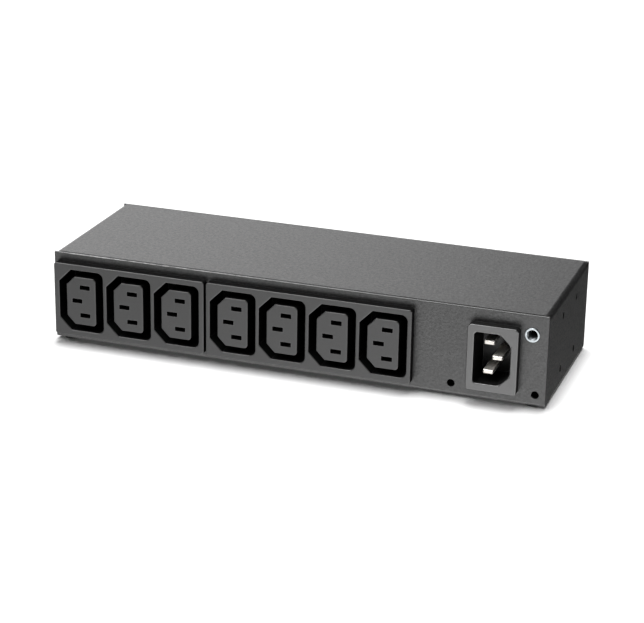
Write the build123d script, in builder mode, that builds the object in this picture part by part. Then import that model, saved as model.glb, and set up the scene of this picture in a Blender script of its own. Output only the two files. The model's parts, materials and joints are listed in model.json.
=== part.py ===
"""Power strip for a half rack: seven C13 outlets in two blocks, a C14 inlet, an earth point, folded steel case.

Millimetres. X runs along the strip with the inlet at +X, the sockets face -Y and Z is up.
The origin is on the floor, under the middle of the overall box.
"""

import os
from build123d import *

os.makedirs("parts", exist_ok=True)

# --- case -------------------------------------------------------------------------------------
CASE_W = 240.4  # along X
CASE_D = 80.8  # front panel face to rear panel face
CASE_H = 43.2  # without the feet
SHEET = 1.2  # steel thickness
COVER_BEND_R = 2.4  # outer radius of the cover's two long bends
TRAY_BEND_R = 1.4  # outer radius of the tray's two bends
SEAM = 0.3  # gap between the cover and the tray's upright panels
SIDE_GAP = 0.2  # gap between the tray floor and the cover sides
SKIRT_RELIEF = 0.9  # the cover sides stop this short, except at their ends
SKIRT_END = 9.0  # full-height length at each end of the cover sides
FOOT_H = 1.2
FOOT_R = 4.5
FOOT_EDGE_R = 0.3
FOOT_INSET = 1.6  # edge of a foot to the edge of the case
PANEL_EDGE_R = 0.55  # rounded top edges of the two upright panels
EDGE_R = 0.4  # softened edges of mouldings

# --- connectors ---------------------------------------------------------------------------------
CONNECTOR_Z = 21.2  # centre line of every connector, above the underside of the case
PIN_PITCH = 14.0  # line to neutral
PIN_OFFSET = 2.0  # centre line to the live blades one way, and to the earth blade the other way
BLADE_W = 4.6
BLADE_T = 2.0
MOULD_FIT = 0.1  # play of a moulding in its panel cut-out

# --- outlet blocks ------------------------------------------------------------------------------
OUTLET_PITCH = 24.35
OUTLET_PROUD = 4.2  # flange thickness, in front of the panel
BLOCK_H = 35.9
BLOCK_LIP = 1.6  # overlap of the flange on the panel, above and below
BLOCK_SIDE_LIP = 0.9  # the same at each end
BLOCK_CORNER_R = 1.2
BLOCK_BODY_D = 24.0  # depth behind the panel face
PILLAR_W = 15.0
PILLAR_H = 23.8
PILLAR_CHAMFER = 4.1
PILLAR_R = 1.7
GROOVE_W = 22.6
GROOVE_H = 30.4
GROOVE_CHAMFER = 6.2
GROOVE_R = 3.0
GROOVE_DEPTH = 17.5
SLOT_W = 5.2
SLOT_H = 2.2
SLOT_R = 0.3
SLOT_DEPTH = 2.5  # pillar face to contact pocket
POCKET_W = 6.4
POCKET_H = 4.0
TRENCH_D = 6.0  # bus bar channel in the rear face
TRENCH_H = 5.4
TRENCH_END = 1.0  # channel beyond its last pocket
BACK_T = 2.0
WEDGE_L = 5.0  # snap wedge behind the panel
WEDGE_W = 8.0
WEDGE_H = 0.7

# --- inlet --------------------------------------------------------------------------------------
INLET_PROUD = 4.6
BEZEL_W = 23.4
BEZEL_H = 31.4
BEZEL_CHAMFER = 1.3  # upper corners
BEZEL_R = 1.0  # lower corners
CAVITY_W = 17.0
CAVITY_H = 24.4
CAVITY_CHAMFER = 5.0
CAVITY_R = 1.6
CAVITY_DEPTH = 18.0
INLET_WALL = 1.4
INLET_BACK = 3.0  # wall that holds the blades
BLADE_RECESS = 2.4  # blade nose behind the bezel face
BLADE_NOSE = 0.4

# --- places along the front panel, from the left end of the case -----------------------------------
GANG3_CENTRE = 39.62
GANG3_W = 76.4
GANG4_CENTRE = 128.74
GANG4_W = 99.65
INLET_CENTRE = 216.2
EARTH_POINT_X = 233.1
EARTH_POINT_Z = 33.8  # above the underside of the case
CLIP_HOLE_PITCH = 39.0  # two screw holes for a cord clip, centred under the inlet
CLIP_HOLE_Z = 5.4
CLIP_HOLE_R = 1.85

# --- earth point: pressed-in M5 insert --------------------------------------------------------------
INSERT_FLANGE_R = 3.35
INSERT_FLANGE_T = 0.5
INSERT_SHANK_R = 2.9
INSERT_BORE_R = 2.1
INSERT_MOUTH = 0.4  # chamfer at the mouth
INSERT_L = 6.5  # behind the panel face

# --- rack ear holes in the case sides: extruded and tapped M4 --------------------------------------
EAR_BORE_R = 1.65
EAR_COLLAR_R = 2.7
EAR_COLLAR_L = 1.4
EAR_PITCH_Y = 27.0
EAR_PITCH_Z = 26.0
EAR_CENTRE_Y = 42.8  # behind the panel face
EAR_CENTRE_Z = 20.8  # above the underside of the case

# --- case fixings -----------------------------------------------------------------------------------
TAB_W = 9.0  # reach of a cover tab over the tray floor
TAB_L = 11.0
TAB_SPACING = 48.0  # front tab to rear tab
SCREW_R = 1.5
SCREW_PLAY = 0.1
SCREW_HEAD_R = 2.7
COUNTERSINK_ANGLE = 90
SCREW_L = 4.4
CROSS_W = 3.2
CROSS_T = 0.7
CROSS_D = 0.8
NUT_R = 3.1
NUT_H = 2.0

# --- current path -----------------------------------------------------------------------------------
BAR_T = 0.8
BAR_H = 4.6
LEAF_T = 0.5
LEAF_W = 4.4
LEAF_L = 13.0
TAB_BLADE_W = 6.3
TAB_BLADE_T = 0.8
TAB_BLADE_L = 8.0  # beyond the moulding
BLADE_SLOT_PLAY = 0.2
SLEEVE_W = 8.2
SLEEVE_H = 3.8
SLEEVE_L = 16.0
SLEEVE_R = 0.8
WIRE_R = 1.7
WIRE_BEND_R = 8.0
WIRE_BEND_TIGHT_R = 6.5
LANE_Y = 62.0  # the long wire runs, behind the panel face

# --- case earth stud ----------------------------------------------------------------------------------
STUD_X = 190.7
STUD_Y = 57.0
STUD_R = 2.0
STUD_L = 10.0
RING_R = 4.2
RING_T = 0.8
BARREL_R = 2.3
BARREL_L = 6.0
BARREL_START = 5.0  # ring centre to barrel
WASHER_R = 4.5
WASHER_T = 1.0
HEX_ACROSS = 7.0
HEX_H = 3.2
BORE_PLAY = 0.15
THREAD_PLAY = 0.05

# --- reference positions --------------------------------------------------------------------------------
LEFT = -CASE_W / 2
FRONT = (INLET_PROUD - CASE_D) / 2
BACK = FRONT + CASE_D
MID_Y = (FRONT + BACK) / 2
BOTTOM = FOOT_H
FLOOR_TOP = BOTTOM + SHEET
AXIS_Z = BOTTOM + CONNECTOR_Z
INLET_X = LEFT + INLET_CENTRE
GANG3_X = LEFT + GANG3_CENTRE
GANG4_X = LEFT + GANG4_CENTRE
BLOCK_REAR = FRONT + BLOCK_BODY_D
INLET_FACE = FRONT - INLET_PROUD
INLET_REAR = INLET_FACE + CAVITY_DEPTH + INLET_BACK
POLE_Z = {"line": AXIS_Z + PIN_PITCH / 2, "neutral": AXIS_Z - PIN_PITCH / 2, "earth": AXIS_Z}


def facing(y):
    """Plane at depth y that looks out of the socket side: its local x is X, its local y is Z."""
    return Plane.XZ.offset(-y)


def across(x):
    """Plane at x that looks along X: its local x is Y, its local y is Z."""
    return Plane.YZ.offset(x)


def shifted(point, dx=0.0, dy=0.0, dz=0.0):
    """A point moved along the axes."""
    return (point[0] + dx, point[1] + dy, point[2] + dz)


def save(part, name):
    """Label a finished piece and write its STEP file."""
    part.label = name
    export_step(part, f"parts/{name}.step")


def connector_shape(width, height, chamfer_size, corner_r, earth_end):
    """Rectangle with chamfered corners at the earth end (0 left, -1 right) and round ones opposite."""
    round_end = -1 - earth_end
    with BuildSketch() as outline:
        Rectangle(width, height)
        chamfer(outline.vertices().group_by(Axis.X)[earth_end], chamfer_size)
        fillet(outline.vertices().group_by(Axis.X)[round_end], corner_r)
    return outline.sketch


# --- base tray: front panel, floor and rear panel folded from one sheet -----------------------------------
tab_centres = [
    (side * (CASE_W / 2 - SHEET - TAB_W / 2), MID_Y + end * TAB_SPACING / 2)
    for side in (-1, 1)
    for end in (-1, 1)
]
floor_edge = SHEET + SIDE_GAP

with BuildPart() as base_tray:
    with BuildSketch(Plane.YZ) as tray_outside:
        with Locations((MID_Y, BOTTOM + CASE_H / 2)):
            Rectangle(CASE_D, CASE_H)
        fillet(tray_outside.vertices().group_by(Axis.Y)[0], TRAY_BEND_R)
    extrude(amount=CASE_W / 2, both=True)
    with BuildSketch(Plane.YZ) as tray_inside:
        with Locations((MID_Y, FLOOR_TOP + CASE_H / 2)):
            Rectangle(CASE_D - 2 * SHEET, CASE_H)
        fillet(tray_inside.vertices().group_by(Axis.Y)[0], TRAY_BEND_R - SHEET)
    extrude(amount=CASE_W / 2, both=True, mode=Mode.SUBTRACT)
    # rounded top edges of the two upright panels
    panel_tops = base_tray.faces().filter_by(Axis.Z).group_by(Axis.Z)[-1]
    fillet(panel_tops.edges().filter_by(Axis.X), PANEL_EDGE_R)
    # the floor is narrower than the panels, so that it drops between the cover sides
    for side in (-1, 1):
        with Locations((side * (CASE_W - floor_edge) / 2, MID_Y, BOTTOM)):
            Box(floor_edge, CASE_D - 2 * SHEET, 4 * SHEET, mode=Mode.SUBTRACT)
    # openings for the outlet blocks, the inlet, the earth insert and the cord clip screws
    with BuildSketch(facing(FRONT)):
        for centre_x, width in ((GANG3_X, GANG3_W), (GANG4_X, GANG4_W)):
            with Locations((centre_x, AXIS_Z)):
                Rectangle(width - 2 * BLOCK_SIDE_LIP, BLOCK_H - 2 * BLOCK_LIP)
        with Locations((INLET_X, AXIS_Z)):
            Rectangle(CAVITY_W + 2 * INLET_WALL, CAVITY_H + 2 * INLET_WALL)
        with Locations((LEFT + EARTH_POINT_X, BOTTOM + EARTH_POINT_Z)):
            Circle(INSERT_SHANK_R)
        with Locations((INLET_X, BOTTOM + CLIP_HOLE_Z)):
            with GridLocations(CLIP_HOLE_PITCH, 1, 2, 1):
                Circle(CLIP_HOLE_R)
    extrude(amount=-SHEET, mode=Mode.SUBTRACT)
    # countersunk holes for the case screws
    for x, y in tab_centres:
        with Locations(Location((x, y, BOTTOM), (180, 0, 0))):
            CounterSinkHole(SCREW_R + SCREW_PLAY, SCREW_HEAD_R + SCREW_PLAY, 2 * SHEET, COUNTERSINK_ANGLE)
save(base_tray.part, "base_tray")

# --- top cover: roof and both sides folded from one sheet ------------------------------------------------
cover_d = CASE_D - 2 * (SHEET + SEAM)

with BuildPart() as top_cover:
    with BuildSketch(facing(MID_Y)) as cover_outside:
        with Locations((0, BOTTOM + CASE_H / 2)):
            Rectangle(CASE_W, CASE_H)
        fillet(cover_outside.vertices().group_by(Axis.Y)[-1], COVER_BEND_R)
    extrude(amount=cover_d / 2, both=True)
    with BuildSketch(facing(MID_Y)) as cover_inside:
        with Locations((0, BOTTOM + CASE_H / 2 - SHEET)):
            Rectangle(CASE_W - 2 * SHEET, CASE_H)
        fillet(cover_inside.vertices().group_by(Axis.Y)[-1], COVER_BEND_R - SHEET)
    extrude(amount=cover_d / 2, both=True, mode=Mode.SUBTRACT)
    with Locations((0, MID_Y, BOTTOM)):
        Box(CASE_W, cover_d - 2 * SKIRT_END, 2 * SKIRT_RELIEF, mode=Mode.SUBTRACT)
    # tabs that lie on the tray floor and take the case screws
    with Locations(*[(x, y, FLOOR_TOP + SHEET / 2) for x, y in tab_centres]):
        Box(TAB_W, TAB_L, SHEET)
        Cylinder(SCREW_R + SCREW_PLAY, SHEET, mode=Mode.SUBTRACT)
    # tapped collars for rack ears, four in each side
    for side in (-1, 1):
        with BuildSketch(across(side * (CASE_W / 2 - SHEET))):
            with Locations((FRONT + EAR_CENTRE_Y, BOTTOM + EAR_CENTRE_Z)):
                with GridLocations(EAR_PITCH_Y, EAR_PITCH_Z, 2, 2):
                    Circle(EAR_COLLAR_R)
        extrude(amount=-side * EAR_COLLAR_L)
        with BuildSketch(across(side * CASE_W / 2)):
            with Locations((FRONT + EAR_CENTRE_Y, BOTTOM + EAR_CENTRE_Z)):
                with GridLocations(EAR_PITCH_Y, EAR_PITCH_Z, 2, 2):
                    Circle(EAR_BORE_R)
        extrude(amount=-side * (SHEET + EAR_COLLAR_L), mode=Mode.SUBTRACT)
save(top_cover.part, "top_cover")

# --- case screws, clinch nuts and feet --------------------------------------------------------------------
STANDING = (Align.CENTER, Align.CENTER, Align.MIN)

with BuildPart() as case_screws:
    with Locations(*[(x, y, BOTTOM) for x, y in tab_centres]):
        Cone(SCREW_HEAD_R, SCREW_R, SCREW_HEAD_R - SCREW_R, align=STANDING)
        Cylinder(SCREW_R, SCREW_L, align=STANDING)
        Box(CROSS_W, CROSS_T, CROSS_D, align=STANDING, mode=Mode.SUBTRACT)
        Box(CROSS_T, CROSS_W, CROSS_D, align=STANDING, mode=Mode.SUBTRACT)
save(case_screws.part, "case_screws")

with BuildPart() as case_nuts:
    with Locations(*[(x, y, FLOOR_TOP + SHEET) for x, y in tab_centres]):
        Cylinder(NUT_R, NUT_H, align=STANDING)
        Cylinder(SCREW_R + THREAD_PLAY, NUT_H, align=STANDING, mode=Mode.SUBTRACT)
save(case_nuts.part, "case_nuts")

foot_x = CASE_W / 2 - FOOT_INSET - FOOT_R
foot_y = CASE_D / 2 - FOOT_INSET - FOOT_R
for end, y in (("front", MID_Y - foot_y), ("rear", MID_Y + foot_y)):
    for hand, x in (("left", -foot_x), ("right", foot_x)):
        with BuildPart() as foot:
            with Locations((x, y, 0)):
                Cylinder(FOOT_R, FOOT_H, align=STANDING)
            fillet(foot.edges().group_by(Axis.Z)[0], FOOT_EDGE_R)
        save(foot.part, f"foot_{end}_{hand}")


# --- outlet blocks -------------------------------------------------------------------------------------------
pillar_shape = connector_shape(PILLAR_W, PILLAR_H, PILLAR_CHAMFER, PILLAR_R, 0)
groove_outer = connector_shape(GROOVE_W, GROOVE_H, GROOVE_CHAMFER, GROOVE_R, 0)
with BuildSketch() as groove:
    add(groove_outer)
    add(pillar_shape, mode=Mode.SUBTRACT)
groove_shape = groove.sketch


def outlet_centres(centre_x, gangs):
    """X of each outlet of a block."""
    first = centre_x - OUTLET_PITCH * (gangs - 1) / 2
    return [first + OUTLET_PITCH * i for i in range(gangs)]


def contact_places(centre_x, gangs, pole):
    """X of a pole's contact in each outlet: the earth is left of the outlet's centre line."""
    offset = -PIN_OFFSET if pole == "earth" else PIN_OFFSET
    return [x + offset for x in outlet_centres(centre_x, gangs)]


def outlet_housing(centre_x, width, gangs):
    """Moulding with a front flange, a body behind the panel, and a pillar in a groove for each outlet."""
    face_y = FRONT - OUTLET_PROUD
    outlets = outlet_centres(centre_x, gangs)
    body_w = width - 2 * (BLOCK_SIDE_LIP + MOULD_FIT)
    body_h = BLOCK_H - 2 * (BLOCK_LIP + MOULD_FIT)
    with BuildPart() as housing:
        with BuildSketch(facing(FRONT)):
            with Locations((centre_x, AXIS_Z)):
                RectangleRounded(width, BLOCK_H, BLOCK_CORNER_R)
        extrude(amount=OUTLET_PROUD)
        with BuildSketch(facing(FRONT)):
            with Locations((centre_x, AXIS_Z)):
                Rectangle(body_w, body_h)
        extrude(amount=-BLOCK_BODY_D)
        with BuildSketch(facing(face_y)):
            with Locations(*[(x, AXIS_Z) for x in outlets]):
                add(groove_shape)
        extrude(amount=-GROOVE_DEPTH, mode=Mode.SUBTRACT)
        # softened edges of the flange, the grooves and the pillars
        front_faces = housing.faces().filter_by(Axis.Y).group_by(Axis.Y)[0]
        fillet(front_faces.edges(), EDGE_R)
        for pole, pole_z in POLE_Z.items():
            places = contact_places(centre_x, gangs, pole)
            spots = [(x, pole_z) for x in places]
            # blade slots, each opening into a contact pocket
            with BuildSketch(facing(face_y)):
                with Locations(*spots):
                    RectangleRounded(SLOT_W, SLOT_H, SLOT_R)
            extrude(amount=-SLOT_DEPTH, mode=Mode.SUBTRACT)
            with BuildSketch(facing(face_y + SLOT_DEPTH)):
                with Locations(*spots):
                    Rectangle(POCKET_W, POCKET_H)
            extrude(amount=-(BLOCK_REAR - face_y - SLOT_DEPTH), mode=Mode.SUBTRACT)
            # channel in the rear face for the pole's bus bar
            channel_w = places[-1] - places[0] + POCKET_W + 2 * TRENCH_END
            with BuildSketch(facing(BLOCK_REAR)):
                with Locations(((places[0] + places[-1]) / 2, pole_z)):
                    Rectangle(channel_w, TRENCH_H)
            extrude(amount=TRENCH_D, mode=Mode.SUBTRACT)
        # snap wedges above and below, just behind the panel
        wedge_y = FRONT + SHEET + MOULD_FIT
        for side in (-1, 1):
            wedge_z = AXIS_Z + side * body_h / 2
            for x in (outlets[0], outlets[-1]):
                with BuildSketch(across(x)):
                    with BuildLine():
                        Polyline(
                            (wedge_y, wedge_z),
                            (wedge_y, wedge_z + side * WEDGE_H),
                            (wedge_y + WEDGE_L, wedge_z),
                            close=True,
                        )
                    make_face()
                extrude(amount=WEDGE_W / 2, both=True)
    return housing.part


def bus_bar(centre_x, gangs, pole, tabs):
    """Stamped bar with a pair of spring leaves for each outlet, and a push-on tab at each outlet in tabs."""
    places = contact_places(centre_x, gangs, pole)
    z = POLE_Z[pole]
    with BuildPart() as bar:
        with Locations(((places[0] + places[-1]) / 2, BLOCK_REAR - BAR_T / 2, z)):
            Box(places[-1] - places[0] + LEAF_W, BAR_T, BAR_H)
        for x in places:
            with Locations((x, BLOCK_REAR - BAR_T - LEAF_L / 2, z)):
                Box(LEAF_W, LEAF_L, BLADE_T + 2 * LEAF_T)
                Box(LEAF_W, LEAF_L, BLADE_T, mode=Mode.SUBTRACT)
        for index in tabs:
            with Locations((places[index], BLOCK_REAR + (BACK_T + TAB_BLADE_L) / 2, z)):
                Box(TAB_BLADE_W, BACK_T + TAB_BLADE_L, TAB_BLADE_T)
    return bar.part


def outlet_back(centre_x, width, gangs, tabs):
    """Plate that closes the channels, slotted for the push-on tabs."""
    back_w = width - 2 * (BLOCK_SIDE_LIP + 2 * MOULD_FIT)
    back_h = BLOCK_H - 2 * (BLOCK_LIP + 2 * MOULD_FIT)
    with BuildPart() as back:
        with BuildSketch(facing(BLOCK_REAR)):
            with Locations((centre_x, AXIS_Z)):
                RectangleRounded(back_w, back_h, BLOCK_CORNER_R)
            for pole, pole_z in POLE_Z.items():
                places = contact_places(centre_x, gangs, pole)
                with Locations(*[(places[index], pole_z) for index in tabs]):
                    Rectangle(
                        TAB_BLADE_W + BLADE_SLOT_PLAY, TAB_BLADE_T + BLADE_SLOT_PLAY, mode=Mode.SUBTRACT
                    )
        extrude(amount=-BACK_T)
    return back.part


BLOCKS = {
    "3gang": {"centre_x": GANG3_X, "width": GANG3_W, "gangs": 3, "tabs": [2]},
    "4gang": {"centre_x": GANG4_X, "width": GANG4_W, "gangs": 4, "tabs": [0, 3]},
}
for name, block in BLOCKS.items():
    save(outlet_housing(block["centre_x"], block["width"], block["gangs"]), f"outlet_housing_{name}")
    save(outlet_back(**block), f"outlet_back_{name}")
    for pole in POLE_Z:
        save(bus_bar(block["centre_x"], block["gangs"], pole, block["tabs"]), f"{pole}_bar_{name}")


# --- inlet ---------------------------------------------------------------------------------------------------
cavity_shape = connector_shape(CAVITY_W, CAVITY_H, CAVITY_CHAMFER, CAVITY_R, -1)
inlet_body_w = CAVITY_W + 2 * (INLET_WALL - MOULD_FIT)
inlet_body_h = CAVITY_H + 2 * (INLET_WALL - MOULD_FIT)
INLET_BLADES = {
    "line": (INLET_X - PIN_OFFSET, POLE_Z["line"]),
    "neutral": (INLET_X - PIN_OFFSET, POLE_Z["neutral"]),
    "earth": (INLET_X + PIN_OFFSET, POLE_Z["earth"]),
}

with BuildPart() as inlet_housing:
    with BuildSketch(facing(FRONT)) as bezel:
        with Locations((INLET_X, AXIS_Z)):
            Rectangle(BEZEL_W, BEZEL_H)
        chamfer(bezel.vertices().group_by(Axis.Y)[-1], BEZEL_CHAMFER)
        fillet(bezel.vertices().group_by(Axis.Y)[0], BEZEL_R)
    extrude(amount=INLET_PROUD)
    with BuildSketch(facing(FRONT)):
        with Locations((INLET_X, AXIS_Z)):
            Rectangle(inlet_body_w, inlet_body_h)
    extrude(amount=FRONT - INLET_REAR)
    with BuildSketch(facing(INLET_FACE)):
        with Locations((INLET_X, AXIS_Z)):
            add(cavity_shape)
    extrude(amount=-CAVITY_DEPTH, mode=Mode.SUBTRACT)
    front_face = inlet_housing.faces().filter_by(Axis.Y).sort_by(Axis.Y)[0]
    fillet(front_face.edges(), EDGE_R)
    with BuildSketch(facing(INLET_REAR)):
        with Locations(*INLET_BLADES.values()):
            Rectangle(BLADE_W, BLADE_T)
    extrude(amount=INLET_BACK, mode=Mode.SUBTRACT)
    # snap wedges on the two long sides, just behind the panel
    for side in (-1, 1):
        wedge_x = INLET_X + side * inlet_body_w / 2
        wedge_y = FRONT + SHEET + MOULD_FIT
        with BuildSketch(Plane.XY.offset(AXIS_Z)):
            with BuildLine():
                Polyline(
                    (wedge_x, wedge_y),
                    (wedge_x + side * WEDGE_H, wedge_y),
                    (wedge_x, wedge_y + WEDGE_L),
                    close=True,
                )
            make_face()
        extrude(amount=WEDGE_W / 2, both=True)
save(inlet_housing.part, "inlet_housing")

for pole, (x, z) in INLET_BLADES.items():
    nose_y = INLET_FACE + BLADE_RECESS
    with BuildPart() as blade:
        with Locations((x, (nose_y + INLET_REAR) / 2, z)):
            Box(BLADE_W, INLET_REAR - nose_y, BLADE_T)
        chamfer(blade.faces().sort_by(Axis.Y)[0].edges(), BLADE_NOSE)
        with Locations((x, INLET_REAR + TAB_BLADE_L / 2, z)):
            Box(TAB_BLADE_W, TAB_BLADE_L, TAB_BLADE_T)
    save(blade.part, f"inlet_blade_{pole}")

# --- earth point -----------------------------------------------------------------------------------------------
with BuildPart() as earth_insert:
    with BuildSketch(facing(FRONT)):
        with Locations((LEFT + EARTH_POINT_X, BOTTOM + EARTH_POINT_Z)):
            Circle(INSERT_FLANGE_R)
    extrude(amount=INSERT_FLANGE_T)
    with BuildSketch(facing(FRONT)):
        with Locations((LEFT + EARTH_POINT_X, BOTTOM + EARTH_POINT_Z)):
            Circle(INSERT_SHANK_R)
    extrude(amount=-INSERT_L)
    with BuildSketch(facing(FRONT - INSERT_FLANGE_T)):
        with Locations((LEFT + EARTH_POINT_X, BOTTOM + EARTH_POINT_Z)):
            Circle(INSERT_BORE_R)
    extrude(amount=-(INSERT_FLANGE_T + INSERT_L), mode=Mode.SUBTRACT)
    mouth = earth_insert.edges().filter_by(GeomType.CIRCLE).group_by(Axis.Y)[0].sort_by(SortBy.RADIUS)[0]
    chamfer(mouth, INSERT_MOUTH)
save(earth_insert.part, "earth_insert")

# --- case earth stud with its washer and nut -------------------------------------------------------------------
stud_x = LEFT + STUD_X
stud_y = FRONT + STUD_Y
ring_z = {"inlet": FLOOR_TOP, "outlets": FLOOR_TOP + RING_T}
washer_z = FLOOR_TOP + 2 * RING_T
nut_z = washer_z + WASHER_T

with BuildPart() as earth_stud:
    with Locations((stud_x, stud_y, FLOOR_TOP)):
        Cylinder(STUD_R, STUD_L, align=STANDING)
save(earth_stud.part, "earth_stud")

with BuildPart() as earth_washer:
    with Locations((stud_x, stud_y, washer_z)):
        Cylinder(WASHER_R, WASHER_T, align=STANDING)
        Cylinder(STUD_R + BORE_PLAY, WASHER_T, align=STANDING, mode=Mode.SUBTRACT)
save(earth_washer.part, "earth_washer")

with BuildPart() as earth_nut:
    with BuildSketch(Plane.XY.offset(nut_z)):
        with Locations((stud_x, stud_y)):
            RegularPolygon(HEX_ACROSS / 2, 6, major_radius=False)
            Circle(STUD_R + THREAD_PLAY, mode=Mode.SUBTRACT)
    extrude(amount=HEX_H)
save(earth_nut.part, "earth_nut")

# ring terminals: one faces the inlet, the other the outlets
barrel_z = {}
for side, (name, z) in zip((1, -1), ring_z.items()):
    barrel_z[name] = z + BARREL_R
    with BuildPart() as ring_terminal:
        with Locations((stud_x, stud_y, z)):
            Cylinder(RING_R, RING_T, align=STANDING)
        with Locations((stud_x + side * BARREL_START / 2, stud_y, z)):
            Box(BARREL_START, 2 * BARREL_R, RING_T, align=STANDING)
        with BuildSketch(across(stud_x + side * BARREL_START)):
            with Locations((stud_y, barrel_z[name])):
                Circle(BARREL_R)
        extrude(amount=side * BARREL_L)
        with Locations((stud_x, stud_y, z)):
            Cylinder(STUD_R + BORE_PLAY, RING_T, align=STANDING, mode=Mode.SUBTRACT)
    save(ring_terminal.part, f"ring_terminal_{name}")


# --- push-on receptacles and wires ---------------------------------------------------------------------------
def tab_root(place, pole):
    """Where a push-on tab leaves its moulding: place is the inlet, or a block's name and an outlet's index."""
    if place == "inlet":
        x, z = INLET_BLADES[pole]
        return (x, INLET_REAR, z)
    name, index = place
    block = BLOCKS[name]
    return (contact_places(block["centre_x"], block["gangs"], pole)[index], BLOCK_REAR + BACK_T, POLE_Z[pole])


TAB_PLACES = ["inlet", ("4gang", 3), ("4gang", 0), ("3gang", 2)]
for pole in POLE_Z:
    with BuildPart() as receptacles:
        for place in TAB_PLACES:
            with Locations(shifted(tab_root(place, pole), dy=SLEEVE_L / 2)):
                Box(SLEEVE_W, SLEEVE_L, SLEEVE_H)
        fillet(receptacles.edges().filter_by(Axis.Y), SLEEVE_R)
        for place in TAB_PLACES:
            with Locations(shifted(tab_root(place, pole), dy=TAB_BLADE_L / 2)):
                Box(
                    TAB_BLADE_W + BLADE_SLOT_PLAY,
                    TAB_BLADE_L + BLADE_SLOT_PLAY,
                    TAB_BLADE_T + BLADE_SLOT_PLAY,
                    mode=Mode.SUBTRACT,
                )
    save(receptacles.part, f"receptacles_{pole}")


def wire(points, bend_r):
    """Round wire along straight runs joined by tangent arcs."""
    with BuildPart() as lead:
        with BuildLine() as route:
            FilletPolyline(*points, radius=bend_r)
        with BuildSketch(Plane(origin=route.line @ 0, z_dir=route.line % 0)):
            Circle(WIRE_R)
        sweep()
    return lead.part


def lane_wire(start_place, end_place, pole):
    """Wire from one push-on receptacle to another by the lane behind the blocks."""
    start = shifted(tab_root(start_place, pole), dy=SLEEVE_L)
    end = shifted(tab_root(end_place, pole), dy=SLEEVE_L)
    lane_y = FRONT + LANE_Y
    return wire([start, (start[0], lane_y, start[2]), (end[0], lane_y, end[2]), end], WIRE_BEND_R)


def stud_wire(ring, place, side):
    """Earth wire from a ring terminal on the stud up to a push-on receptacle."""
    z = barrel_z[ring]
    end = shifted(tab_root(place, "earth"), dy=SLEEVE_L)
    start = (stud_x + side * (BARREL_START + BARREL_L), stud_y, z)
    return wire([start, (end[0], stud_y, z), (end[0], stud_y, end[2]), end], WIRE_BEND_TIGHT_R)


for pole in ("line", "neutral"):
    save(lane_wire("inlet", ("4gang", 3), pole), f"wire_{pole}_feed")
for pole in POLE_Z:
    save(lane_wire(("4gang", 0), ("3gang", 2), pole), f"wire_{pole}_link")
save(stud_wire("inlet", "inlet", 1), "wire_earth_inlet")
save(stud_wire("outlets", ("4gang", 3), -1), "wire_earth_outlets")
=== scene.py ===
"""Rack power strip: detailed pieces, materials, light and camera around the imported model."""

import json
import math
import bmesh
import bpy
from mathutils import Matrix, Vector


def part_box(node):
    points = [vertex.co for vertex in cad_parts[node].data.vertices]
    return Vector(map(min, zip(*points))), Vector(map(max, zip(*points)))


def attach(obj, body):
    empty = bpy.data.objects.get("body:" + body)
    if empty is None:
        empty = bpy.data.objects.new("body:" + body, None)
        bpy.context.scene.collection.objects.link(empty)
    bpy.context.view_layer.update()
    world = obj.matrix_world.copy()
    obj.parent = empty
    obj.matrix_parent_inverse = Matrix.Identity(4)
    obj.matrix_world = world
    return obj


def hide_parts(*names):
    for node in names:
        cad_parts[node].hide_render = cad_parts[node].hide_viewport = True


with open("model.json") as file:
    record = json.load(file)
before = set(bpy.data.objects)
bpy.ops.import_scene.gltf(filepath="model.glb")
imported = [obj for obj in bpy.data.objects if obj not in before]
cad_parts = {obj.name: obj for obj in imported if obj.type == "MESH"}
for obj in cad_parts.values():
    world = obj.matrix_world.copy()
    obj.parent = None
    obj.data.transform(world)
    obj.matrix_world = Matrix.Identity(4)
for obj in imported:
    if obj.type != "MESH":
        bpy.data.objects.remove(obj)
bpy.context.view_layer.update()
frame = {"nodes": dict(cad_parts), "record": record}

MM = 0.001
nodes = frame["nodes"]
slot_of = {part["node"]: part["material_slot"] for part in frame["record"]["subparts"]}

# --- sizes of the added detail, in millimetres, and angles in degrees -------------------------------
WELD = 0.002  # points nearer than this are one
EASED_R = 0.12  # reach of the rounding on every sharp edge
FLAT_ANGLE = 0.4  # faces that meet at less are one flat face
SHARP_ANGLE = 32.0  # edges that turn by more are eased
CREASE_ANGLE = 38.0  # faces that meet at less are shaded as one bend
BLUNT_ANGLE = 45.0  # turn at each end of a chamfer
ANGLE_SLACK = 3.0
CORNER_STEPS = 6  # faces round a chamfer's softened end
ALONG_Y = 0.99  # least share of its length that an edge from front to back has along Y

PANEL_EDGE_R = 0.6  # reach of the rounded top edge of the front panel
LIP_DEPTH = 0.5  # depth of a moulding's softened front edges
BEZEL_BORDER = 2.0  # narrower than the bezel's frame and wider than its chamfered corners
BEZEL_CORNER = 0.6  # reach of the rounding at the bezel's chamfers
MOUTH_CORNER = 1.5  # reach of the rounding at the inlet cavity's chamfers
CAVITY_LEAST_DEPTH = 15.0  # deeper than the bezel and its wedges, and short of the cavity's floor
FACES_FRONT = -0.5  # a face whose normal has less along Y looks forwards
FACES_UP = 0.3  # a face whose normal has more along Z looks upwards

INSERT_SHANK_R = 2.9
THREAD_R = 2.1  # crests of the M5 thread
THREAD_DEPTH = 0.4
THREAD_PITCH = 0.8
THREAD_STEPS = 8  # rings for each turn
MOUTH_R = 2.55
MOUTH_DEPTH = 0.45
MOUTH_LIP = 0.12  # how much wider the mouth is at the very front
MOUTH_LIP_DEPTH = 0.05
FLANGE_T = 0.5
RIM_R = 0.2
RIM_STEPS = 4
BORE_SLACK = 0.02


def box_mm(node):
    """Lowest and highest corner of a node, in millimetres."""
    low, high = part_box(node)
    return Vector(low) / MM, Vector(high) / MM


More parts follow.
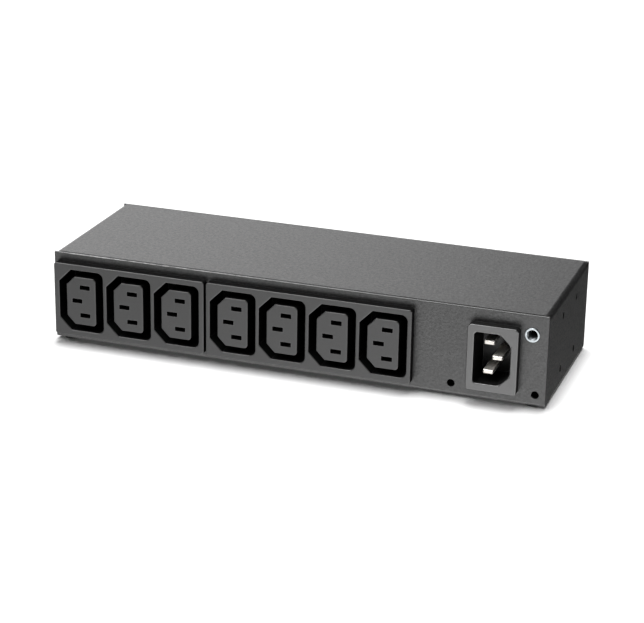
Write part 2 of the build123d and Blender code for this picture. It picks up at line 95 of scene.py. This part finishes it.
# --- meshes ---------------------------------------------------------------------------------------
def cleaned(mesh):
    """Welds a mesh's doubled points, drops its empty faces and turns it to face outwards."""
    bm = bmesh.new()
    bm.from_mesh(mesh)
    bmesh.ops.remove_doubles(bm, verts=bm.verts, dist=WELD * MM)
    bmesh.ops.dissolve_degenerate(bm, edges=bm.edges, dist=WELD * MM)
    bmesh.ops.recalc_face_normals(bm, faces=bm.faces)
    bm.to_mesh(mesh)
    bm.free()
    return mesh


def turned(name, centre, rings, steps=64):
    """A closed turned shape about an axis along Y. Each ring is a depth and a radius for any angle."""
    points = []
    for depth, radius in rings:
        for i in range(steps):
            angle = 2 * math.pi * i / steps
            reach = radius(angle)
            points.append((centre.x + reach * math.cos(angle), depth, centre.z + reach * math.sin(angle)))
    faces = []
    for k in range(len(rings)):
        following = (k + 1) % len(rings)
        for i in range(steps):
            j = (i + 1) % steps
            faces.append((k * steps + i, k * steps + j, following * steps + j, following * steps + i))
    mesh = bpy.data.meshes.new(name)
    mesh.from_pydata([Vector(point) * MM for point in points], [], faces)
    return cleaned(mesh)


def shade(mesh):
    """Custom normals: bends are smooth, and a flat face stays flat right up to the edge of a bend."""
    regions = {}
    keys = []
    for face in mesh.polygons:
        n = face.normal
        key = (round(n.x, 3), round(n.y, 3), round(n.z, 3), round(n.dot(face.center) / MM, 2))
        keys.append(key)
        regions[key] = regions.get(key, 0.0) + face.area
    around = [[] for _ in mesh.vertices]
    for face in mesh.polygons:
        for v in face.vertices:
            around[v].append(face.index)
    limit = math.cos(math.radians(CREASE_ANGLE))
    normals = []
    for face in mesh.polygons:
        for v in face.vertices:
            total = Vector((0, 0, 0))
            for other in around[v]:
                n = mesh.polygons[other].normal
                if n.dot(face.normal) > limit:
                    total += n * regions[keys[other]]
            normals.append(total.normalized())
    mesh.shade_smooth()
    mesh.normals_split_custom_set(normals)


def turn(edge):
    """The angle between an edge's two faces, in degrees, or 0 where it hasn't two."""
    return math.degrees(edge.calc_face_angle(0)) if len(edge.link_faces) == 2 else 0.0


def ease(bm, edges, reach, steps):
    """Rounds off some edges, by a reach in millimetres."""
    bmesh.ops.bevel(
        bm, geom=edges, offset=reach * MM, segments=steps, profile=0.5, affect="EDGES", clamp_overlap=True
    )


def ends_of_chamfers(bm, chosen):
    """The edges from front to back beside a chamfer whose middle, in millimetres, is chosen."""
    edges = []
    for edge in bm.edges:
        start, end = (vert.co for vert in edge.verts)
        blunt = abs(turn(edge) - BLUNT_ANGLE) < ANGLE_SLACK
        if blunt and abs((end - start).normalized().y) > ALONG_Y and chosen((start + end) / 2 / MM):
            edges.append(edge)
    return edges


def refined(node, corners=()):
    """A copy of a node's mesh with clean flat faces, some corners rounded and every sharp edge eased."""
    mesh = nodes[node].data.copy()
    mesh.name = node + "_refined"
    mesh.materials.clear()
    bm = bmesh.new()
    bm.from_mesh(mesh)
    bmesh.ops.remove_doubles(bm, verts=bm.verts, dist=WELD * MM)
    bmesh.ops.dissolve_limit(bm, angle_limit=math.radians(FLAT_ANGLE), verts=bm.verts, edges=bm.edges)
    bm.normal_update()
    for reach, chosen in corners:
        ease(bm, ends_of_chamfers(bm, chosen), reach, CORNER_STEPS)
    bm.normal_update()
    ease(bm, [edge for edge in bm.edges if turn(edge) > SHARP_ANGLE], EASED_R, 2)
    bmesh.ops.triangulate(bm, faces=[face for face in bm.faces if len(face.verts) > 4])
    bm.to_mesh(mesh)
    bm.free()
    return mesh


def use_on(mesh, material, chosen):
    """Gives a mesh one more material, on faces chosen by their centre, in millimetres, and normal."""
    mesh.materials.append(material)
    for face in mesh.polygons:
        if chosen(face.center / MM, face.normal):
            face.material_index = len(mesh.materials) - 1


def add_piece(node, mesh):
    """Makes a piece of a mesh, in place of the CAD node it stands for."""
    shade(mesh)
    mesh.materials.append(MATERIALS[slot_of[node]])
    piece = bpy.data.objects.new(node + "_piece", mesh)
    bpy.context.scene.collection.objects.link(piece)
    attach(piece, "root")
    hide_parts(node)


# --- materials ------------------------------------------------------------------------------------
# sockets of a mix node: its factor, then the two inputs and the output for values and for colours
MIX_FACTOR = 0
MIX_VALUES = (2, 3)
MIX_VALUE = 0
MIX_COLOURS = (6, 7)
MIX_COLOUR = 2


def grey(level):
    """A neutral colour."""
    return (level, level, level)


class Finish:
    """A Principled material whose colour, roughness and bump come from noise nodes."""

    def __init__(self, name, **sockets):
        self.material = bpy.data.materials.new(name)
        self.material.use_nodes = True
        self.tree = self.material.node_tree
        self.shader = self.tree.nodes["Principled BSDF"]
        for socket, value in sockets.items():
            self.shader.inputs[socket.replace("_", " ")].default_value = value
        self.place = self.node("ShaderNodeTexCoord").outputs["Object"]
        self.height = None

    def put(self, value, socket):
        """Sets an input to a value, or links it to another node's output."""
        if isinstance(value, bpy.types.NodeSocket):
            self.tree.links.new(value, socket)
        else:
            socket.default_value = value

    def node(self, kind, **inputs):
        """A node with some of its inputs set or linked."""
        made = self.tree.nodes.new(kind)
        for name, value in inputs.items():
            self.put(value, made.inputs[name.replace("_", " ")])
        return made

    def noise(self, scale, detail=2.0, roughness=0.5):
        """Noise of a scale, in cells for each millimetre."""
        made = self.node("ShaderNodeTexNoise", Vector=self.place, Scale=scale / MM)
        self.put(detail, made.inputs["Detail"])
        self.put(roughness, made.inputs["Roughness"])
        return made.outputs["Fac"]

    def mapped(self, value, low, high, from_low=0.3, from_high=0.7):
        """A value brought from one range to another."""
        made = self.node("ShaderNodeMapRange", Value=value)
        made.inputs["From Min"].default_value = from_low
        made.inputs["From Max"].default_value = from_high
        made.inputs["To Min"].default_value = low
        made.inputs["To Max"].default_value = high
        return made.outputs["Result"]

    def blend(self, factor, first, second):
        """A colour between two, by a factor."""
        made = self.tree.nodes.new("ShaderNodeMix")
        made.data_type = "RGBA"
        self.put(factor, made.inputs[MIX_FACTOR])
        for socket, value in zip(MIX_COLOURS, (first, second)):
            self.put((*value, 1) if isinstance(value, tuple) else value, made.inputs[socket])
        return made.outputs[MIX_COLOUR]

    def combined(self, operation, first, second):
        """Two values or vectors brought together by an operation."""
        kind = "ShaderNodeVectorMath" if operation == "DOT_PRODUCT" else "ShaderNodeMath"
        made = self.tree.nodes.new(kind)
        made.operation = operation
        self.put(first, made.inputs[0])
        self.put(second, made.inputs[1])
        return made.outputs["Value"]

    def colour(self, value):
        self.put(value, self.shader.inputs["Base Color"])

    def roughness(self, value):
        self.put(value, self.shader.inputs["Roughness"])

    def bump(self, value, depth):
        """Adds relief of a depth in millimetres on top of what is there."""
        made = self.node("ShaderNodeBump", Height=value, Distance=depth * MM, Strength=1.0)
        if self.height is not None:
            self.put(self.height, made.inputs["Normal"])
        self.height = made.outputs["Normal"]
        self.put(self.height, self.shader.inputs["Normal"])

    def edges(self, radius=0.35):
        """1 on sharp outer edges and 0 on flats: a mask for paler edges, worn ones on the powder coat and
        painted highlights on the mouldings.
        """
        bevel = self.node("ShaderNodeBevel", Radius=radius * MM).outputs["Normal"]
        flat = self.node("ShaderNodeNewGeometry").outputs["Normal"]
        return self.mapped(self.combined("DOT_PRODUCT", bevel, flat), 1.0, 0.0, 0.75, 0.98)


def powder_coat():
    """Satin black powder coat: fine orange peel, a speckle of matter grains, slightly rubbed edges."""
    finish = Finish("powder_coat_black", Specular_IOR_Level=1.0)
    grain = finish.noise(0.7, 5.0, 0.75)
    speckle = finish.mapped(finish.noise(1.0, 2.0), 0, 1, 0.35, 0.65)
    coat = finish.blend(speckle, grey(0.001), grey(0.018))
    finish.colour(finish.blend(finish.edges(), coat, grey(0.02)))
    finish.roughness(finish.mapped(grain, 0.32, 0.52))
    finish.bump(finish.noise(0.85, 4.0, 0.7), 0.11)
    finish.bump(finish.noise(3.0, 2.0), 0.012)
    return finish.material


# the painted highlight on the panel's top edge is full left of the first X and gone right of the second, in
# millimetres
HIGHLIGHT_FULL_X = -110.0
HIGHLIGHT_GONE_X = 40.0


def painted_highlight_edge():
    """Powder coat with a painted highlight along an edge, in uneven streaks that fade away from the left
    end.
    """
    finish = Finish("powder_coat_painted_highlight", Specular_IOR_Level=1.0)
    highlight_noise = finish.noise(0.22, 5.0, 0.7)
    along = finish.node("ShaderNodeSeparateXYZ", Vector=finish.place).outputs["X"]
    fade = finish.mapped(along, 1, 0, HIGHLIGHT_FULL_X * MM, HIGHLIGHT_GONE_X * MM)
    streaks = finish.combined("MULTIPLY", finish.mapped(highlight_noise, 0, 1, 0.38, 0.62), fade)
    # painted highlight: the edge is lightened in streaks, most at the left end
    finish.colour(finish.blend(streaks, grey(0.008), grey(0.22)))
    finish.roughness(finish.mapped(highlight_noise, 0.42, 0.34))
    finish.bump(finish.noise(2.0, 2.0), 0.01)
    return finish.material


def moulding(name, shade_low, shade_high, roughness, specular=1.0, ior=1.5):
    """Black thermoplastic: fine spark-eroded grain, a little flow mottling and paler edges that are a
    painted highlight.
    """
    finish = Finish(name, Specular_IOR_Level=specular, IOR=ior)
    base = finish.blend(finish.mapped(finish.noise(0.08, 3.0), 0, 1), grey(shade_low), grey(shade_high))
    # painted highlight: sharp edges ten times paler than the plastic
    finish.colour(finish.blend(finish.edges(0.8), base, grey(10 * shade_high)))
    finish.roughness(finish.mapped(finish.noise(0.9, 3.0), roughness - 0.03, roughness + 0.04))
    finish.bump(finish.noise(2.5, 2.0), 0.010)
    return finish.material


def metal(name, colour, tint, roughness, scratch=0.0, brushed=(1, 1, 1), metallic=1.0):
    """Bare or plated metal with faint clouding and, where it is drawn or brushed, fine lines."""
    finish = Finish(name, Metallic=metallic)
    stretch = finish.node("ShaderNodeMapping", Vector=finish.place, Scale=brushed).outputs["Vector"]
    lines = finish.node("ShaderNodeTexNoise", Vector=stretch, Scale=2.5 / MM, Detail=3.0).outputs["Fac"]
    finish.colour(finish.blend(finish.mapped(finish.noise(0.25, 3.0), 0, 1), colour, tint))
    finish.roughness(finish.mapped(lines, roughness - 0.06, roughness + 0.08))
    if scratch:
        finish.bump(lines, scratch)
    return finish.material


def soft_plastic(name, colour, other, roughness, specular=0.5):
    """Flexible PVC, nylon or rubber with slight mottling and a faint skin texture."""
    finish = Finish(name, Specular_IOR_Level=specular)
    finish.colour(finish.blend(finish.mapped(finish.noise(0.3, 3.0), 0, 1), colour, other))
    finish.roughness(finish.mapped(finish.noise(0.9), roughness - 0.04, roughness + 0.05))
    finish.bump(finish.noise(3.0, 2.0), 0.01)
    return finish.material


def striped_pvc():
    """Green PVC insulation with a yellow stripe."""
    finish = Finish("wire_green_yellow")
    wave = finish.node("ShaderNodeTexWave", Vector=finish.place, Scale=0.045 / MM, Distortion=0.4)
    stripe = finish.mapped(wave.outputs["Fac"], 0, 1, 0.62, 0.66)
    finish.colour(finish.blend(stripe, (0.05, 0.26, 0.04), (0.75, 0.58, 0.03)))
    finish.roughness(finish.mapped(finish.noise(0.9), 0.33, 0.42))
    finish.bump(finish.noise(3.0), 0.01)
    return finish.material


ACROSS = (0.1, 1, 1)  # brushing drawn out along X
LENGTHWAYS = (1, 0.08, 1)  # brushing drawn out along Y
NICKEL = ((0.80, 0.77, 0.72), (0.72, 0.69, 0.64))
BRASS = ((0.74, 0.57, 0.28), (0.62, 0.45, 0.20))
TIN = ((0.66, 0.65, 0.63), (0.55, 0.54, 0.52))
ZINC = ((0.55, 0.59, 0.61), (0.46, 0.50, 0.52))
# a darker zinc: painted shade for the insert's bore
BORE_SHADE_ZINC = ((0.28, 0.30, 0.31), (0.20, 0.21, 0.22))
BLACK_ZINC = ((0.07, 0.07, 0.07), (0.045, 0.045, 0.05))
RUBBER = (grey(0.012), grey(0.02))
NYLON = ((0.72, 0.71, 0.66), (0.64, 0.62, 0.56))
BROWN = ((0.16, 0.065, 0.028), (0.20, 0.085, 0.035))
BLUE = ((0.02, 0.10, 0.40), (0.03, 0.13, 0.46))

MATERIALS = {
    "case_paint": powder_coat(),
    "outlet_moulding": moulding("outlet_plastic_black", 0.004, 0.006, 0.44),
    "inlet_moulding": moulding("inlet_plastic_black", 0.006, 0.009, 0.44, ior=1.72),
    "blade_plating": metal("nickel_plate", *NICKEL, 0.40, 0.002, LENGTHWAYS, 0.7),
    "contact_brass": metal("spring_brass", *BRASS, 0.32, 0.002, ACROSS),
    "tinned_copper": metal("tin_plate", *TIN, 0.38),
    "bright_zinc": metal("zinc_plate", *ZINC, 0.36),
    "black_zinc": metal("black_zinc_plate", *BLACK_ZINC, 0.42),
    "foot_rubber": soft_plastic("foot_rubber_black", *RUBBER, 0.72, 0.35),
    "sleeve_nylon": soft_plastic("nylon_natural", *NYLON, 0.45),
    "line_insulation": soft_plastic("wire_brown", *BROWN, 0.38),
    "neutral_insulation": soft_plastic("wire_blue", *BLUE, 0.38),
    "earth_insulation": striped_pvc(),
}


# --- earth insert ---------------------------------------------------------------------------------
insert_low, insert_high = box_mm("earth_insert")
insert_centre = (insert_low + insert_high) / 2


def steady(radius):
    """A ring of one radius."""
    return lambda angle: radius


def thread(depth):
    """A ring across a right-hand thread: the groove comes round once for each pitch."""
    def radius(angle):
        turns = (depth / THREAD_PITCH + angle / (2 * math.pi)) % 1.0
        return THREAD_R + THREAD_DEPTH * (1 - abs(2 * turns - 1))
    return radius


def insert_mesh():
    """Pressed-in insert: rounded flange, open mouth, threaded bore and a shank behind the panel."""
    front, rear = insert_low.y, insert_high.y
    flange_r = (insert_high.x - insert_low.x) / 2
    rings = [(front + FLANGE_T, steady(INSERT_SHANK_R)), (front + FLANGE_T, steady(flange_r))]
    for k in range(RIM_STEPS + 1):
        angle = math.pi / 2 / RIM_STEPS * k
        out = flange_r - RIM_R * (1 - math.cos(angle))
        rings.append((front + RIM_R * (1 - math.sin(angle)), steady(out)))
    rings.append((front, steady(MOUTH_R + MOUTH_LIP)))
    rings.append((front + MOUTH_LIP_DEPTH, steady(MOUTH_R)))
    start = front + MOUTH_DEPTH
    for k in range(int((rear - start) / THREAD_PITCH * THREAD_STEPS)):
        depth = start + k * THREAD_PITCH / THREAD_STEPS
        rings.append((depth, thread(depth)))
    rings.append((rear, steady(THREAD_R + THREAD_DEPTH)))
    rings.append((rear, steady(INSERT_SHANK_R)))
    return turned("earth_insert_turned", insert_centre, rings)


def in_bore(centre, normal):
    """Within the insert's mouth or its thread."""
    return math.hypot(centre.x - insert_centre.x, centre.z - insert_centre.z) < MOUTH_R + BORE_SLACK


# --- inlet ----------------------------------------------------------------------------------------
inlet_low, inlet_high = box_mm("inlet_housing")


def in_mouth(middle):
    """Inside the bezel's outline, by more than its chamfered corners reach."""
    left, right = inlet_low.x + BEZEL_BORDER, inlet_high.x - BEZEL_BORDER
    bottom, top = inlet_low.z + BEZEL_BORDER, inlet_high.z - BEZEL_BORDER
    return left < middle.x < right and bottom < middle.z < top


INLET_CORNERS = [
    (BEZEL_CORNER, lambda middle: not in_mouth(middle)),
    (MOUTH_CORNER, in_mouth),
]

# --- pieces ---------------------------------------------------------------------------------------
shapes = {node: refined(node) for node in nodes if node not in ("earth_insert", "inlet_housing")}
shapes["earth_insert"] = insert_mesh()
shapes["inlet_housing"] = refined("inlet_housing", INLET_CORNERS)
for node, mesh in shapes.items():
    add_piece(node, mesh)

# the walls behind the front faces of the mouldings are a darker, matter copy of the plastic, painted shade
# for the recesses and sides; the floor of the inlet's cavity is less matt and paler, painted light
outlet_wall = moulding("outlet_wall_painted_shade", 0.0035, 0.0045, 0.62, 0.05)
WALLS = {
    "outlet_housing_3gang": outlet_wall,
    "outlet_housing_4gang": outlet_wall,
    "inlet_housing": moulding("inlet_wall_painted_shade", 0.005, 0.007, 0.58, 0.1),
}
for node, material in WALLS.items():
    wall_y = box_mm(node)[0].y + LIP_DEPTH
    use_on(shapes[node], material, lambda centre, normal: centre.y > wall_y)
cavity_y = inlet_low.y + CAVITY_LEAST_DEPTH
# a paler copy of the plastic on the cavity's floor: painted light
use_on(
    shapes["inlet_housing"],
    moulding("inlet_floor_painted_light", 0.010, 0.014, 0.46, 0.8),
    lambda centre, normal: centre.y > cavity_y and normal.y < FACES_FRONT,
)

# the bore of the insert is a darker copy of its zinc plate: painted shade in the hollow
use_on(shapes["earth_insert"], metal("zinc_plate_painted_shade", *BORE_SHADE_ZINC, 0.50), in_bore)

# a painted highlight on the rounded top edge of the front panel, lightest at its left end
tray_low, tray_high = box_mm("base_tray")


def on_top_edge(centre, normal):
    """On the front panel's rounded top edge."""
    near = centre.z > tray_high.z - PANEL_EDGE_R and centre.y < tray_low.y + PANEL_EDGE_R
    return near and normal.z > FACES_UP


use_on(shapes["base_tray"], painted_highlight_edge(), on_top_edge)

# --- stage ----------------------------------------------------------------------------------------
FLOOR_REACH = 4.0  # metres each way
FLOOR_CORNERS = ((-1, -1), (1, -1), (1, 1), (-1, 1))
floor_mesh = bpy.data.meshes.new("floor")
floor_mesh.from_pydata([(x * FLOOR_REACH, y * FLOOR_REACH, 0) for x, y in FLOOR_CORNERS], [], [(0, 1, 2, 3)])
floor = bpy.data.objects.new("floor", floor_mesh)
bpy.context.scene.collection.objects.link(floor)
floor_finish = Finish("floor_white", Base_Color=(*grey(0.93), 1), Roughness=0.9, Specular_IOR_Level=0.0)
floor_mesh.materials.append(floor_finish.material)
floor.visible_glossy = False

# --- camera ---------------------------------------------------------------------------------------
PITCH, YAW, ROLL = 20.65, 18.85, 0.99
FOCAL = 115.55
SENSOR = 36
TRAY_CORNER = (-127.6, 11.7, 996.2)  # right of, below and ahead of the camera
camera_data = bpy.data.cameras.new("camera")
camera_data.sensor_width = SENSOR
camera_data.lens = FOCAL
camera = bpy.data.objects.new("camera", camera_data)
bpy.context.scene.collection.objects.link(camera)
bpy.context.scene.camera = camera


def looking(pitch, yaw, roll):
    """Rows are the camera's right, down and forward directions, in the row frame."""
    p, y, r = (math.radians(angle) for angle in (pitch, yaw, roll))
    swing = Matrix(((math.cos(y), math.sin(y), 0), (-math.sin(y), math.cos(y), 0), (0, 0, 1)))
    level = Matrix(((1, 0, 0), (0, 0, -1), (0, 1, 0)))
    tilt = Matrix(((1, 0, 0), (0, math.cos(p), -math.sin(p)), (0, math.sin(p), math.cos(p))))
    lean = Matrix(((math.cos(r), -math.sin(r), 0), (math.sin(r), math.cos(r), 0), (0, 0, 1)))
    return lean @ tilt @ level @ swing


rows = looking(PITCH, YAW, ROLL)
right, down, ahead = rows
camera_place = (tray_low - rows.transposed() @ Vector(TRAY_CORNER)) * MM
camera_turn = Matrix((right, -down, -ahead)).transposed().to_4x4()
camera.matrix_world = Matrix.Translation(camera_place) @ camera_turn


# --- light ----------------------------------------------------------------------------------------
class Studio:
    """A world of soft panels: each is a round patch of sky, bright at its middle and fading to its rim."""

    def __init__(self):
        self.world = bpy.data.worlds.new("studio")
        self.world.use_nodes = True
        self.tree = self.world.node_tree
        self.direction = self.tree.nodes.new("ShaderNodeTexCoord").outputs["Generated"]

    def panel(self, total, azimuth, elevation, full, edge, strength):
        """Adds a panel, full within one angle of its middle and gone beyond another, in degrees."""
        a, e = math.radians(azimuth), math.radians(elevation)
        dot = self.tree.nodes.new("ShaderNodeVectorMath")
        dot.operation = "DOT_PRODUCT"
        self.tree.links.new(self.direction, dot.inputs[0])
        dot.inputs[1].default_value = (math.cos(e) * math.sin(a), math.cos(e) * math.cos(a), math.sin(e))
        ramp = self.tree.nodes.new("ShaderNodeMapRange")
        ramp.interpolation_type = "SMOOTHSTEP"
        self.tree.links.new(dot.outputs["Value"], ramp.inputs["Value"])
        ramp.inputs["From Min"].default_value = math.cos(math.radians(edge))
        ramp.inputs["From Max"].default_value = math.cos(math.radians(full))
        ramp.inputs["To Max"].default_value = strength
        both = self.tree.nodes.new("ShaderNodeMath")
        self.tree.links.new(total, both.inputs[0])
        self.tree.links.new(ramp.outputs["Result"], both.inputs[1])
        return both.outputs["Value"]

    def light(self, fill, panels=()):
        """An even fill with some panels in it."""
        value = self.tree.nodes.new("ShaderNodeValue")
        value.outputs[0].default_value = fill
        total = value.outputs[0]
        for panel in panels:
            total = self.panel(total, *panel)
        return total

    def mixed(self, choice, otherwise, chosen):
        """One light for a kind of ray and another for the rest."""
        made = self.tree.nodes.new("ShaderNodeMix")
        self.tree.links.new(choice, made.inputs[MIX_FACTOR])
        for socket, value in zip(MIX_VALUES, (otherwise, chosen)):
            self.tree.links.new(value, made.inputs[socket])
        return made.outputs[MIX_VALUE]

    def finish(self, even, panels, backdrop):
        """Even light for matt surfaces, soft panels for the satin ones, and a backdrop behind."""
        path = self.tree.nodes.new("ShaderNodeLightPath")
        light = self.mixed(path.outputs["Is Diffuse Ray"], panels, even)
        light = self.mixed(path.outputs["Is Camera Ray"], light, backdrop)
        background = self.tree.nodes["Background"]
        background.inputs["Color"].default_value = (1, 1, 1, 1)
        self.tree.links.new(light, background.inputs["Strength"])
        bpy.context.scene.world = self.world


# azimuth clockwise from +Y, elevation, half-angle of full light, half-angle of the rim, strength
PANELS = [
    (-42, 16, 19, 38, 1.73),
    (-140, 60, 8, 30, 9.0),
    (154, -45, 12, 40, 2.1),
    (154, -25, 12, 45, 0.4),
    (-20, -40, 8, 38, 1.25),
    (109, -18, 8, 34, 2.4),
    (-165, -45, 10, 40, 2.4),
]
EVEN_FILL = 0.2
PANEL_FILL = 0.03
BACKDROP = 1.0
studio = Studio()
studio.finish(studio.light(EVEN_FILL), studio.light(PANEL_FILL, PANELS), studio.light(BACKDROP))

# a soft lamp nearly overhead, a little behind and to the left, for the shadow on the floor
LAMP_TOWARDS = Vector((-0.03, 0.12, 1.0))
LAMP_WIDTH = 16  # degrees across
overhead_data = bpy.data.lights.new("overhead", "SUN")
overhead_data.energy = 3.2
overhead_data.angle = math.radians(LAMP_WIDTH)
overhead = bpy.data.objects.new("overhead", overhead_data)
overhead.rotation_euler = LAMP_TOWARDS.to_track_quat("Z", "Y").to_euler()
overhead.visible_glossy = False
bpy.context.scene.collection.objects.link(overhead)

bpy.context.scene.view_settings.view_transform = "Standard"
